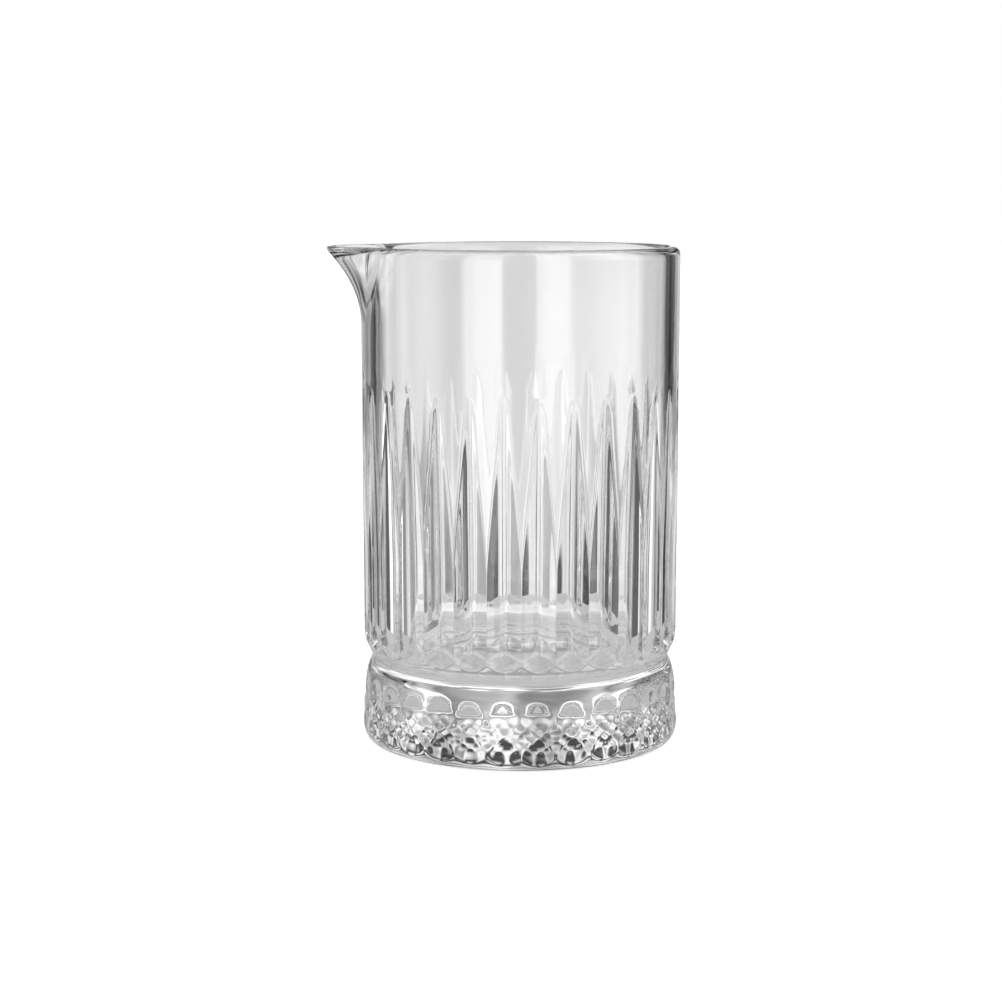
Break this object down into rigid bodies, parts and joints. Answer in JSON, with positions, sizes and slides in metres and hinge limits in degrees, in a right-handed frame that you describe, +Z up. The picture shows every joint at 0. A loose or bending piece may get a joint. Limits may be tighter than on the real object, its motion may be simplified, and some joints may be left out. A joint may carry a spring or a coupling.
{
  "type": "mixing glass",
  "caption": "Straight-sided clear pressed-glass bar mixing glass with a pouring spout, pointed vertical flutes and a dimpled heavy foot.",
  "frame": {"origin": "on the axis of the round body, at the flat underside the glass stands on", "axes": "+Z up along the axis, -X towards the tip of the spout, so X-Z is the mirror plane"},
  "size_m": [0.1055, 0.0958, 0.148],
  "materials": {
    "clear_glass": "polished"
  },
  "bodies": {
    "root": {"glass_body": "clear_glass"}
  },
  "joints": []
}
